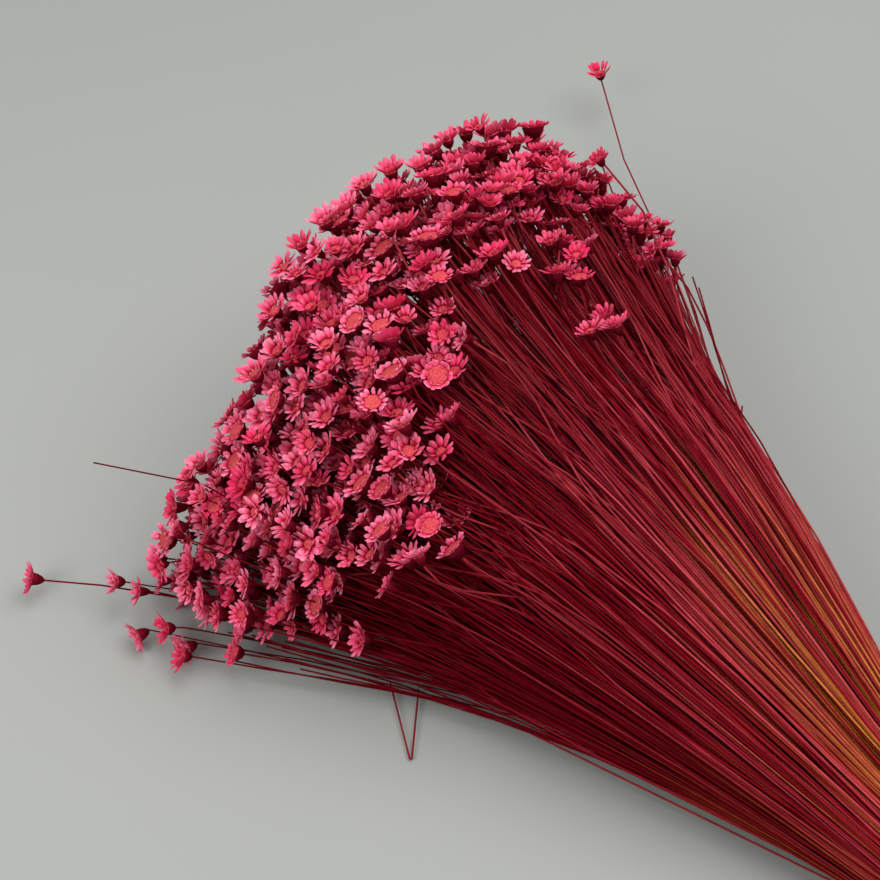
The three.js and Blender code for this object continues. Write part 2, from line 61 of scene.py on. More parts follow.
# The bunch's own places, in metres, read off the band that holds it. +X runs to the heads.
band_low, band_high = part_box("band")
BAND_MIDDLE = (band_low + band_high) / 2
BAND_OUTER = (band_high.y - band_low.y) / 2
GATHER = Vector((BAND_MIDDLE.x, BAND_MIDDLE.y, band_high.z - BAND_OUTER))

# Where the solid cores of the sprays end in front of the band and behind it
CORE_FRONT = GATHER.x + 8.5 * MM
CORE_REAR = GATHER.x - 7 * MM

# How far out the stems pass the band, to fill it up to the rubber
HUB_REACH = BAND_OUTER - 2.2 * MM

# How far the cut ends spread behind the band, how much less they do below its middle, and how
# uneven they are
CUT_SPREAD = 1.21
CUT_FLATTEN = 0.85
CUT_RAGGED = 6 * MM

# About how far out the outermost knees are. A knee is a stem's bend halfway to its head.
KNEE_REACH = 50 * MM

# What a place's height and its y count for in how far it is to the upper right
RIGHT_Z, RIGHT_Y = 0.5, -0.87

# The camera looks at this point, which is what the middle of the picture shows
LOOK_AT = Vector((GATHER.x + 177 * MM, GATHER.y + 19.9 * MM, 53.5 * MM))

SPRAYS = sorted(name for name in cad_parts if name.startswith("spray_"))

# The places of a spray's materials
STEM, CUP, BRACT, DISC, PITH = range(5)


def between(low, high, share):
    return low + (high - low) * share


def rightness(place):
    """How far a place is to the upper right of the gathered stems, in the photographed view."""
    off = (place - GATHER) / KNEE_REACH
    return RIGHT_Z * off.z + RIGHT_Y * off.y


def smooth_step(low, high, value):
    share = min(1, max(0, (value - low) / (high - low)))
    return share * share * (3 - 2 * share)


class GlixiaStems(PropertyGroup):
    width: FloatProperty(
        name="Width", description="Width of a stem below its head",
        default=0.56 * MM, min=0, unit="LENGTH",
    )
    tail_width: FloatProperty(
        name="Tail width", description="Width of a stem at its cut end",
        default=0.66 * MM, min=0, unit="LENGTH",
    )
    sides: IntProperty(
        name="Sides", description="Faces round a stem",
        default=5, min=3, max=12,
    )
    headless: IntProperty(
        name="More stems", description="Stems added to each straight one of the solids",
        default=5, min=0, max=12,
    )
    bow: FloatProperty(
        name="Bow", description="Most that a stem bends away from its straight line",
        default=3.4 * MM, min=0, unit="LENGTH",
    )
    wander: FloatProperty(
        name="Wander", description="How far the end of an added stem strays sideways",
        default=5 * MM, min=0, unit="LENGTH",
    )
    wine: FloatVectorProperty(
        name="Wine", description="Dyed colour of most of a stem",
        default=(0.26, 0.0025, 0.012), subtype="COLOR", min=0, max=1,
    )
    rose: FloatVectorProperty(
        name="Rose", description="Lighter dyed colour of some stems",
        default=(0.66, 0.08, 0.105), subtype="COLOR", min=0, max=1,
    )
    rust: FloatVectorProperty(
        name="Rust", description="Colour where the dye fades",
        default=(0.49, 0.07, 0.027), subtype="COLOR", min=0, max=1,
    )
    straw: FloatVectorProperty(
        name="Straw", description="Undyed colour towards the cut ends",
        default=(0.77, 0.31, 0.04), subtype="COLOR", min=0, max=1,
    )


class GlixiaHeads(PropertyGroup):
    variants: IntProperty(
        name="Variants", description="Different heads of each kind",
        default=5, min=1, max=12,
    )
    bracts: IntProperty(
        name="Bracts", description="Pointed bracts in the outer row of a star-shaped head",
        default=13, min=5, max=24,
    )
    bract_width: FloatProperty(
        name="Bract width", description="Width of a bract at its widest",
        default=1.6 * MM, min=0, unit="LENGTH",
    )
    room: FloatProperty(
        name="Room", description="Least distance from an added head's middle to the next head's",
        default=4.7 * MM, min=0, unit="LENGTH",
    )
    pink: FloatVectorProperty(
        name="Pink", description="Colour of the bracts",
        default=(0.76, 0.028, 0.11), subtype="COLOR", min=0, max=1,
    )
    blush: FloatVectorProperty(
        name="Blush", description="Colour of the bracts' tips",
        default=(0.98, 0.25, 0.4), subtype="COLOR", min=0, max=1,
    )
    crimson: FloatVectorProperty(
        name="Crimson", description="Colour of a bract's base and of the cup",
        default=(0.26, 0.003, 0.018), subtype="COLOR", min=0, max=1,
    )
    coral: FloatVectorProperty(
        name="Coral", description="Colour of the flat middle of a head",
        default=(0.66, 0.085, 0.092), subtype="COLOR", min=0, max=1,
    )


class GlixiaBand(PropertyGroup):
    turns: IntProperty(
        name="Turns", description="Turns of the rubber band round the stems",
        default=4, min=1, max=6,
    )
    thickness: FloatProperty(
        name="Thickness", description="Thickness of the rubber",
        default=1.9 * MM, min=0, unit="LENGTH",
    )
    width: FloatProperty(
        name="Width", description="Width of one turn",
        default=2 * MM, min=0, unit="LENGTH",
    )
    tan: FloatVectorProperty(
        name="Tan", description="Colour of the rubber",
        default=(0.5, 0.31, 0.14), subtype="COLOR", min=0, max=1,
    )


class GlixiaStage(PropertyGroup):
    turn: FloatProperty(
        name="Turn", description="Where the camera stands round the bunch",
        default=math.radians(227.7), subtype="ANGLE", unit="ROTATION",
    )
    height: FloatProperty(
        name="Height", description="How steeply the camera looks down",
        default=math.radians(50), subtype="ANGLE", unit="ROTATION",
    )
    distance: FloatProperty(
        name="Distance", description="From the camera to the point it looks at",
        default=0.4993, unit="LENGTH",
    )
    field: FloatProperty(
        name="Field", description="Angle that the picture takes in",
        default=math.radians(26), subtype="ANGLE", unit="ROTATION",
    )
    key_power: FloatProperty(
        name="Key light", description="Strength of the large soft light",
        default=21, min=0, unit="POWER",
    )
    side_power: FloatProperty(
        name="Side light", description="Strength of the smaller soft light from the front left",
        default=4.4, min=0, unit="POWER",
    )
    fill: FloatProperty(
        name="Fill", description="Strength of the light from all round",
        default=0.25, min=0,
    )
    floor_grey: FloatVectorProperty(
        name="Floor", description="Colour of the floor",
        default=(0.335, 0.342, 0.322), subtype="COLOR", min=0, max=1,
    )


# What the solids say: where each stem runs and where its head sits

class Flower:
    """One stem with the line that it follows, and its head if it has one.

    The line runs from the root, where the stem leaves the solid core, by its knee to its end. The
    hub is where the stem passes the middle of the band.
    """

    def __init__(self, line):
        self.root, self.knee = line[:2]
        self.line = line
        self.has_head = False
        self.stray = len(line) > 3
        back = (CORE_FRONT - GATHER.x) / (self.knee.x - CORE_FRONT)
        self.hub = self.root + (self.root - self.knee) * back

    def add_head(self, tips, middle):
        place = sum(tips, Vector()) / len(tips)
        self.has_head = True
        self.rim = place
        self.axis = (place - middle).normalized()
        self.radius = sum((tip - place).length for tip in tips) / len(tips)
        self.petals = len(tips)
        self.side = (tips[0] - place).normalized()


def fill_band(flowers):
    """Moves the stems out where they pass the band, so that it sits snug on them."""
    hubs = [flower.hub - GATHER for flower in flowers]
    for flower, off in zip(flowers, hubs):
        way = Vector((0, off.y, off.z)).normalized()
        fill = HUB_REACH / max(hub.dot(way) for hub in hubs)
        flower.hub = GATHER + Vector((off.x, off.y * fill, off.z * fill))


def neighbours(vert):
    return [edge.other_vert(vert) for edge in vert.link_edges]


def in_order(items):
    """Vertices or edges in the mesh's own order, which is the same in each run."""
    return sorted(items, key=lambda item: item.index)


def reach(start, inside):
    """The start and all that is joined to it by vertices for which inside holds."""
    group = {start}
    waiting = [start]
    while waiting:
        for other in neighbours(waiting.pop()):
            if other not in group and inside(other):
                group.add(other)
                waiting.append(other)
    return group


# The corners of a solid's faces that are nearer to each other than this are one vertex
WELD = 0.002 * MM

# The vertices of a head's rim that lie further out than this share of the furthest are its tips
TIP_SHARE = 0.8


def read_stem(group):
    """Walks a stem ring by ring, from the core outwards to its head or broken end."""
    ring = {other for vert in group for other in neighbours(vert) if other not in group}
    line = []
    left = set(group)
    rings = []
    while ring:
        rings.append(in_order(ring))
        line.append(sum((vert.co for vert in rings[-1]), Vector()) / len(ring))
        ring = {other for vert in ring for other in neighbours(vert) if other in left}
        left -= ring
    if len(rings[-1]) > 1:
        return Flower(line)
    flower = Flower(line[:-2])
    middle = line[-1]
    far = max((vert.co - middle).length for vert in rings[-2])
    tips = [vert.co.copy() for vert in rings[-2] if (vert.co - middle).length > TIP_SHARE * far]
    flower.add_head(tips, middle)
    return flower


def read_spray(name):
    """The stems of one spray, each as a Flower."""
    bm = bmesh.new()
    bm.from_mesh(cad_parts[name].data)
    bmesh.ops.remove_doubles(bm, verts=bm.verts, dist=WELD)
    bm.verts.index_update()
    in_front = lambda vert: vert.co.x > CORE_FRONT + HAIR
    flowers = []
    seen = set()
    for vert in bm.verts:
        if vert not in seen and in_front(vert):
            group = reach(vert, in_front)
            seen |= group
            flowers.append(read_stem(group))
    bm.free()
    return flowers


# Building stones

def new_layers(bm, *names):
    return {name: bm.verts.layers.float.new(name) for name in names}


class Template:
    """A small mesh that is set down many times, with a number along each part of it."""

    def __init__(self, name, bm):
        layers = {key: bm.verts.layers.float.get(key) for key in ("along", "chance")}
        bmesh.ops.recalc_face_normals(bm, faces=bm.faces)
        self.numbers = [
            {key: vert[layer] for key, layer in layers.items() if layer} for vert in bm.verts
        ]
        self.mesh = bpy.data.meshes.new(name)
        bm.to_mesh(self.mesh)
        bm.free()

    def set_down(self, bm, layers, matrix, chance=0.0, ripe=0.0):
        """Adds the mesh where the matrix puts it, and returns its new vertices."""
        count = len(bm.verts)
        bm.from_mesh(self.mesh)
        bm.verts.ensure_lookup_table()
        added = bm.verts[count:]
        bmesh.ops.transform(bm, matrix=matrix, verts=added)
        for vert, numbers in zip(added, self.numbers):
            vert[layers["along"]] = numbers.get("along", 0)
            vert[layers["chance"]] = numbers.get("chance", 0) + chance
            vert[layers["ripe"]] = ripe
        return added


def make_stem_template(sides, steps):
    """A straight stem of width 2 and one unit a step, with a cut face at its low end."""
    bm = bmesh.new()
    bmesh.ops.create_cone(
        bm, cap_ends=True, segments=sides, radius1=1, radius2=1, depth=1,
        matrix=Matrix.Translation((0, 0, 0.5)),
    )
    bm.faces.ensure_lookup_table()
    cut = min(bm.faces, key=lambda face: face.calc_center_median().z)
    cut.material_index = PITH
    for step in range(1, steps):
        top = max(bm.faces, key=lambda face: face.calc_center_median().z)
        grown = bmesh.ops.extrude_face_region(bm, geom=[top])["geom"]
        verts = [item for item in grown if isinstance(item, bmesh.types.BMVert)]
        bmesh.ops.translate(bm, vec=(0, 0, 1), verts=verts)
    for face in bm.faces:
        face.smooth = len(face.verts) == 4
    return Template("stem template", bm)


def trace(points, counts, last_way=None):
    """Places along a smooth line through the points, with so many steps in each stretch."""
    ways = [(b - a).normalized() for a, b in zip(points, points[1:])]
    leave = [ways[0]] + [(a + b).normalized() for a, b in zip(ways, ways[1:])]
    leave.append(last_way or ways[-1])
    places = [points[0]]
    for k, count in enumerate(counts):
        start, end = points[k], points[k + 1]
        pull = (end - start).length
        for step in range(1, count + 1):
            t = step / count
            places.append(
                start * (2 * t ** 3 - 3 * t ** 2 + 1)
                + leave[k] * (pull * (t ** 3 - 2 * t ** 2 + t))
                + end * (3 * t ** 2 - 2 * t ** 3)
                + leave[k + 1] * (pull * (t ** 3 - t ** 2))
            )
    return places


def trace_bent(points, count):
    """Places along straight stretches with sharp corners."""
    places = [points[0]]
    for start, end in zip(points, points[1:]):
        places += [start.lerp(end, step / count) for step in range(1, count + 1)]
    return places


# Steps along a stem: from its cut end to the band and to its hub, on to its knee and its end, and
# along the neck below a head of the solids, which is this long. A stray stem has so many steps in
# each straight stretch.
TAIL_STEPS = [3, 1]
FRONT_STEPS = [5, 5]
NECK_STEPS = [2]
NECK = 4 * MM
STRAY_STEPS = 4

# The steps between which a stem bends, from its hub to its end, and the ripple in its bend
BOWED = (sum(TAIL_STEPS), sum(TAIL_STEPS + FRONT_STEPS))
RIPPLE = 0.25

# Half a stem's width to the width that is set, for the darkest stem and for the rosiest
HALF_WIDTHS = (0.37, 0.58)

# Where each thing changes across the bunch, as rightness measures it: the dye, with painted light
# making the stems rosier on the right and painted shade on the left, the ripeness on the right and
# on the left rim, the crossing stems, and the heads' number and colour, where painted shade
# deepens the heads on the right
ROSY_ZONE = (-0.7, 0.3)
RIPE_ZONE = (-0.2, 0.5)
RIM_ZONE = (0.7, 0.95)
CROSSING_ZONE = (-0.6, 0.3)
SPARSE_ZONE = (1, 1.8)
DEEP_ZONE = (0.4, 1.6)

# The rosiest dye on the left and the darkest on the right, which give painted light on the right
# and painted shade on the left, and how much of it a headless stem has: headless stems are painted
# darker, as shade among the others
ROSIEST_LEFT, DARKEST_RIGHT = 0.6, 0.34
HEADLESS_SHADE = 0.75

# The odds that a stem is ripe: everywhere, and so much more on the right and on the left rim. Then
# the most dye that an unripe stem has lost, what a ripe one has lost, and how much more where the
# bunch is golden, which is in the middle of its right side.
RIPE_ODDS = (0.15, 0.62, 0.5)
UNRIPE = 0.12
RIPE = (0.35, 0.74)
GOLDEN = 0.6
GOLD_MIDDLE, GOLD_WIDTH = 0.72, 0.27

# An added stem stands this share of the way towards one of so many neighbours. It reaches this
# share of the way from its knee to the ends there, and this share of that if it has no head.
SHARES = (0.1, 0.55)
NEIGHBOURS = 6
ADDED_ENDS = (0.8, 0.99)
LOST_ENDS = (0.78, 0.96)

# An added head: its size to a common one's, its sway, how far out on its stem it has to sit, its
# least height, its room to a stray head as so many times the common room, the share of heads that
# is left out on the far right, and how often a stem tries to carry one
ADDED_SIZES = (0.72, 0.95)
SWAY = 0.28
LEAST_REACH = 0.87
LOWEST_ADDED = 11 * MM
STRAY_ROOM = 3
SPARSE = 0.6
TRIES = 3

# How far an added stem's knee strays, the least height of its knee and of its end, and the height
# from which its end strays as far as is set
KNEE_STRAYS = 1 * MM
KNEE_LOWEST = 1 * MM
END_LOWEST = 0.6 * MM
STRAY_HEIGHT = 25 * MM

# The share of headless stems that cross their neighbours, where most do, how far off the end is
# that one of them leans to, and how far it leans
CROSSING = 0.55
CROSSING_REACH = (12 * MM, 34 * MM)
LEANS = (0.3, 0.8)


class SprayMaker:
    """Holds what all sprays share: the templates, the chances and the settings."""

    def __init__(self, stems, heads, flowers):
        self.stems = stems
        self.heads = heads
        fill_band(flowers)
        self.straight = [flower for flower in flowers if not flower.stray]
        self.middles = [flower.rim for flower in flowers if flower.has_head]
        self.lone = [flower.rim for flower in flowers if flower.has_head and flower.stray]
        self.random = random.Random(SEED)
        self.templates = {}

    def stem_template(self, steps):
        if steps not in self.templates:
            self.templates[steps] = make_stem_template(self.stems.sides, steps)
        return self.templates[steps]

    def cut_end(self, hub, low_x):
        """Where the stem that passes the band at hub was cut off."""
        off = hub - GATHER
        spread = CUT_SPREAD * (CUT_FLATTEN if off.z < 0 else 1)
        x = low_x + CUT_RAGGED * self.random.random()
        return Vector((x, GATHER.y + off.y * CUT_SPREAD, GATHER.z + off.z * spread))

    def tail(self, hub, low_x):
        """A stem's corners from its cut end to the middle of the band."""
        return [self.cut_end(hub, low_x), Vector((CORE_REAR, hub.y, hub.z)), hub]

    def bend_stem(self, bm, layers, places, chance, ripe):
        """Sets down a stem and bends it along the places, from its cut end on."""
        steps = len(places) - 1
        added = self.stem_template(steps).set_down(bm, layers, Matrix(), chance, ripe)
        run = [0.0]
        for a, b in zip(places, places[1:]):
            run.append(run[-1] + (b - a).length)
        rings = []
        for k, place in enumerate(places):
            way = (places[min(k + 1, steps)] - places[max(k - 1, 0)]).normalized()
            side = way.cross(Vector((0, 0, 1))).normalized()
            rings.append((place, side, side.cross(way)))
        widths = self.stems.tail_width, self.stems.width
        for vert in added:
            k = round(vert.co.z)
            place, side, other = rings[k]
            half = between(*widths, run[k] / run[-1]) * between(*HALF_WIDTHS, chance)
            spot = place + side * (vert.co.x * half) + other * (vert.co.y * half)
            vert.co = Vector((spot.x, spot.y, max(spot.z, HAIR)))
            vert[layers["along"]] = 1 - run[k] / run[-1]

    def bow(self, places, most):
        """Bends the stem to one side in front of the band, as a dried stem has set."""
        first, last = BOWED
        turn = math.tau * self.random.random()
        far = most * self.random.random()
        off = Vector((0, math.cos(turn), math.sin(turn))) * far
        ripple = self.random.random() * math.tau
        for k in range(first, last):
            share = (k - first) / (last - first)
            arch = math.sin(math.pi * share)
            swing = arch + RIPPLE * math.sin(math.tau * 2 * share + ripple)
            places[k] = places[k] + off * swing * arch

    def ripeness(self, knee):
        """How much of its dye a stem has lost: most on the upper right, some on the left rim."""
        right = rightness(knee)
        anywhere, on_right, on_rim = RIPE_ODDS
        odds = anywhere + on_right * smooth_step(*RIPE_ZONE, right)
        odds += on_rim * smooth_step(*RIM_ZONE, -right)
        if self.random.random() > odds:
            return UNRIPE * self.random.random()
        golden = math.exp(-(((right - GOLD_MIDDLE) / GOLD_WIDTH) ** 2))
        least, most = RIPE
        return between(least, most + GOLDEN * golden, self.random.random())

    def dye(self, knee):
        """How rosy a stem is: its dye varies at random, and painted light makes the stems on the
        right rosier, while painted shade keeps those on the left wine red.
        """
        right = smooth_step(*ROSY_ZONE, rightness(knee))
        most = between(ROSIEST_LEFT, 1, right)
        return between(DARKEST_RIGHT * right, most, self.random.random())

    def grow_flower(self, bm, layers, flower, low_x):
        """A stem from its cut end to its head, and the head."""
        chance = self.dye(flower.knee)
        tail = self.tail(flower.hub, low_x)
        if flower.stray:
            places = trace_bent(tail + flower.line[1:], STRAY_STEPS)
        else:
            tip = flower.line[-1]
            ways = (tip - flower.knee).normalized() + flower.axis
            points = tail + [flower.knee, tip - ways.normalized() * NECK, tip]
            places = trace(points, TAIL_STEPS + FRONT_STEPS + NECK_STEPS, flower.axis)
            self.bow(places, self.stems.bow / 2)
        self.bend_stem(bm, layers, places, chance, self.ripeness(flower.knee))
        if flower.has_head:
            self.set_head(bm, layers, flower)

    def nearest(self, flower):
        """The other straight stems whose knees are nearest."""
        near = sorted(self.straight, key=lambda f: (f.knee - flower.knee).length)
        return near[1:NEIGHBOURS + 1]

    def grow_between(self, bm, layers, flower, other, low_x):
        """A stem between two others, which has lost its head or carries one if there is room."""
        share = between(*SHARES, self.random.random())
        hub = flower.hub.lerp(other.hub, share)
        knee = flower.knee.lerp(other.knee, share)
        knee += Vector((0, self.random.gauss(0, 1), self.random.gauss(0, 1))) * KNEE_STRAYS
        knee.z = max(knee.z, KNEE_LOWEST)
        tail = self.tail(hub, low_x)
        for _ in range(TRIES):
            added = self.try_flower(flower, other, share, hub, knee)
            if added.has_head:
                break
        end = added.line[-1]
        if added.has_head:
            self.middles.append(added.rim)
            self.set_head(bm, layers, added)
        else:
            end = knee.lerp(end, between(*LOST_ENDS, self.random.random()))
            end = self.cross(knee, end)
        way = added.axis if added.has_head else None
        places = trace(tail + [knee, end], TAIL_STEPS + FRONT_STEPS, way)
        self.bow(places, self.stems.bow)
        # A headless stem keeps less of its dye: painted shade among the stems that fill the bunch
        chance = self.dye(knee) * (1 if added.has_head else HEADLESS_SHADE)
        self.bend_stem(bm, layers, places, chance, self.ripeness(knee))

    def try_flower(self, flower, other, share, hub, knee):
        """One end for an added stem to have past its knee, with a head if there is room for it."""
        out = between(*ADDED_ENDS, self.random.random())
        end = knee.lerp(flower.line[-1].lerp(other.line[-1], share), out)
        stray = self.stems.wander * smooth_step(0, STRAY_HEIGHT, end.z)
        end += Vector((0, self.random.gauss(0, stray), self.random.gauss(0, stray / 2)))
        end.z = max(end.z, END_LOWEST)
        added = Flower([hub, knee, end])
        added.petals = flower.petals
        added.radius = HEAD_RADIUS * between(*ADDED_SIZES, self.random.random())
        sway = Vector([self.random.gauss(0, SWAY) for _ in range(3)])
        added.axis = (flower.axis.lerp(other.axis, share) + sway).normalized()
        added.rim = end + added.axis * (added.radius * CUP_FOOT * MM / -HEAD_RADIUS)
        added.side = added.axis.cross(Vector((0, 0, 1))).normalized()
        added.has_head = out > LEAST_REACH and self.has_room(added)
        return added

    def cross(self, knee, end):
        """Where a headless stem ends: some lean across their neighbours, to one further off."""
        if self.random.random() > CROSSING * smooth_step(*CROSSING_ZONE, rightness(knee)):
            return end
        least, most = CROSSING_REACH
        tips = [flower.line[-1] for flower in self.straight]
        far = [tip for tip in tips if least < (tip - end).length < most]
        if not far:
            return end
        return end.lerp(self.random.choice(far), between(*LEANS, self.random.random()))

    def has_room(self, flower):
        """Is there room for one more head, well over the floor and clear of all the others?"""
        room = self.heads.room
        sparse = SPARSE * smooth_step(*SPARSE_ZONE, rightness(flower.rim))
        if flower.rim.z < LOWEST_ADDED or self.random.random() < sparse:
            return False
        if any((middle - flower.rim).length < STRAY_ROOM * room for middle in self.lone):
            return False
        return all((middle - flower.rim).length > room for middle in self.middles)

    def set_head(self, bm, layers, flower):
        """Sets down a head of some kind, more open on the left than on the right, where painted
        shade keeps the heads less pale.
        """
        deep = smooth_step(*DEEP_ZONE, rightness(flower.rim))
        odds = [between(a, b, deep) for a, b in zip(OPEN_ODDS, DEEP_ODDS)]
        is_open = flower.petals > BUD_TIPS
        kind = self.random.choices(HEAD_KINDS, odds)[0] if is_open else "bud"
        variant = self.random.randrange(self.heads.variants)
        key = (kind, variant)
        if key not in self.templates:
            self.templates[key] = make_head_template(kind, SEED + variant, self.heads)
        side = flower.side
        matrix = Matrix((side, flower.axis.cross(side), flower.axis)).transposed().to_4x4()
        matrix.translation = flower.rim
        size = flower.radius / (BUD_RADIUS if kind == "bud" else HEAD_RADIUS)
        # Painted shade: the heads on the right are kept less pale
        chance = self.random.random() * between(*PALEST, deep)
        self.templates[key].set_down(bm, layers, matrix @ Matrix.Scale(size, 4), chance)


# Flower heads. Sizes are those of a head of this radius, with its bracts' tips at height 0.

HEAD_RADIUS = 5.4 * MM
BUD_RADIUS = 2.7 * MM

# A solid's head with no more tips than this is a bud
BUD_TIPS = 5

# The kinds of open head, how common each is on the left and on the right of the bunch, and how
# pale the palest heads are there: those on the right are kept less pale as painted shade
HEAD_KINDS = ("star", "daisy", "plate", "half_open", "bare")
OPEN_ODDS = (5, 2.4, 1.4, 3.6, 1)
DEEP_ODDS = (3, 1, 1, 6, 0.6)
PALEST = (1, 0.4)

# For each kind, in millimetres and degrees: the cup's radius and the height of its rim; the outer
# bracts' number to a star's, their length, breadth, slope and curl; and the inner bracts' number,
# length and slope
HEAD_SHAPES = {
    "star": (1.9, -1.4, 1, 4, 1, 24, 0.3, 9, 2.7, 50),
    "daisy": (1.6, -1.2, 0.7, 4.2, 1.3, 18, 0.2, 7, 3, 44),
    "plate": (2.9, -1, 1.1, 2.9, 1, 14, 0.5, 6, 1.7, 40),
    "half_open": (2, -2, 0.85, 3.9, 1.15, 48, -0.3, 8, 2.9, 70),
    "bare": (3.1, -1.1, 1.2, 2, 1.1, 18, 0.5, 8, 1.3, 50),
    "bud": (2.0, -2.6, 0.6, 2.7, 1, 84, -1, 5, 2.2, 88),
}

# The cup: the height and radius of its foot in millimetres, its sides, and how its colour varies
CUP_FOOT = -4.7
FOOT_RADIUS = 0.3
CUP_SIDES = 10
CUP_TINTS = 0.1

# A bract: how broad it is towards its foot, and how much broader towards its tip, the thickness of
# its keel in millimetres, how much its edges droop, its most twist, and how its colour varies
BRACT_FOOT, BRACT_GROWS = 0.78, 0.42
KEEL = 0.34
DROOP = 0.5
TWIST = 0.35
BRACT_TINTS = 0.16

# The outer and the inner row of bracts: where they sit to the cup's radius, how high over its rim,
# the lift of every other one, the share of the curl, the first one's turn and how much the turns
# vary, and the spread of length, of width and of slope in degrees
OUTER_ROW = (0.88, 0.02, 0.12, 1, 0, 0.25, (0.82, 1.08), (0.8, 1.15), (-11, 14))
INNER_ROW = (0.78, 0.16, 0, 0.5, 0.5, 0.3, (0.75, 1.1), (0.65, 0.9), (-15, 15))


def add_cup(bm, layers, radius, height, rng):
    """The cup under the bracts, closed by the flat floret disc."""
    rise = height - CUP_FOOT
    profile = [
        (FOOT_RADIUS, CUP_FOOT, CUP),
        (0.55 * radius, CUP_FOOT + 0.22 * rise, CUP),
        (0.86 * radius, CUP_FOOT + 0.6 * rise, CUP),
        (radius, height, CUP),
        (0.9 * radius, height + 0.22, DISC),
        (0.62 * radius, height + 0.48, DISC),
        (0.3 * radius, height + 0.58, DISC),
    ]
    made = bmesh.ops.create_cone(
        bm, cap_ends=True, segments=CUP_SIDES,
        radius1=profile[0][0] * MM, radius2=profile[1][0] * MM,
        depth=(profile[1][1] - profile[0][1]) * MM,
        matrix=Matrix.Translation((0, 0, (profile[0][1] + profile[1][1]) / 2 * MM)),
    )["verts"]
    faces = {face for vert in made for face in vert.link_faces}
    top = max(faces, key=lambda face: face.calc_center_median().z)
    for face in faces:
        face.material_index = CUP
    for (old, low, slot), (new, high, after) in zip(profile[1:], profile[2:]):
        grown = bmesh.ops.extrude_face_region(bm, geom=[top])["geom"]
        verts = [item for item in grown if isinstance(item, bmesh.types.BMVert)]
        top = [item for item in grown if isinstance(item, bmesh.types.BMFace)][0]
        bmesh.ops.translate(bm, vec=(0, 0, (high - low) * MM), verts=verts)
        lift = Matrix.Translation((0, 0, -high * MM))
        bmesh.ops.scale(bm, vec=(new / old, new / old, 1), space=lift, verts=verts)
        for face in {face for vert in verts for face in vert.link_faces if face != top}:
            face.material_index = after if face.calc_center_median().z > low * MM else slot
        top.material_index = after
        made += verts
    for vert in made:
        vert[layers["along"]] = min(1, max(0, (vert.co.z / MM - CUP_FOOT) / rise))
        vert[layers["chance"]] = rng.uniform(-CUP_TINTS, CUP_TINTS)


def add_bract(bm, layers, size, base, slope, curl, turn, rng):
    """One pointed bract: a flat spindle with a keel, set on the cup's rim."""
    length, width = size
    made = bmesh.ops.create_uvsphere(bm, u_segments=4, v_segments=4, radius=0.5)["verts"]
    chance = rng.uniform(-BRACT_TINTS, BRACT_TINTS)
    for vert in made:
        share = vert.co.z + 0.5
        taper = BRACT_FOOT + BRACT_GROWS * share
        x = share * length
        y = vert.co.x * width * taper
        z = vert.co.y * KEEL * taper + curl * share * share - DROOP * abs(vert.co.x) * share
        vert[layers["along"]] = share
        vert[layers["chance"]] = chance
        vert.co = Vector((x, y, z))
    place = (
        Matrix.Rotation(turn, 4, "Z")
        @ Matrix.Translation(base)
        @ Matrix.Rotation(-slope, 4, "Y")
        @ Matrix.Rotation(rng.uniform(-TWIST, TWIST), 4, "X")
    )
    bmesh.ops.transform(bm, matrix=Matrix.Scale(MM, 4) @ place, verts=made)
    for face in {face for vert in made for face in vert.link_faces}:
        face.material_index = BRACT


def add_row(bm, layers, row, rim, count, length, width, slope, curl, rng):
    """One row of bracts round the cup's rim, each a little different."""
    to_radius, over_rim, lift, to_curl, first, turns, lengths, widths, slopes = row
    radius, height = rim
    for k in range(count):
        turn = math.tau * (k + first + rng.uniform(-turns, turns)) / count
        size = (length * rng.uniform(*lengths), width * rng.uniform(*widths))
        tilt = math.radians(slope + rng.uniform(*slopes))
        base = Vector((radius * to_radius, 0, height + over_rim + lift * (k % 2)))
        add_bract(bm, layers, size, base, tilt, curl * to_curl, turn, rng)


def make_head_template(kind, seed, heads):
    """A head with its cup, its disc and two rows of bracts."""
    rng = random.Random(f"{kind} {seed}")
    radius, height, share, length, breadth, slope, curl, *inner = HEAD_SHAPES[kind]
    inner_count, inner_length, inner_slope = inner
    bm = bmesh.new()
    layers = new_layers(bm, "along", "chance")
    add_cup(bm, layers, radius, height, rng)
    width = breadth * heads.bract_width / MM
    outer = (round(heads.bracts * share), length, width, slope, curl, rng)
    inner = (inner_count, inner_length, width, inner_slope, curl, rng)
    add_row(bm, layers, OUTER_ROW, (radius, height), *outer)
    add_row(bm, layers, INNER_ROW, (radius, height), *inner)
    return Template(f"{kind} head template", bm)


# Materials

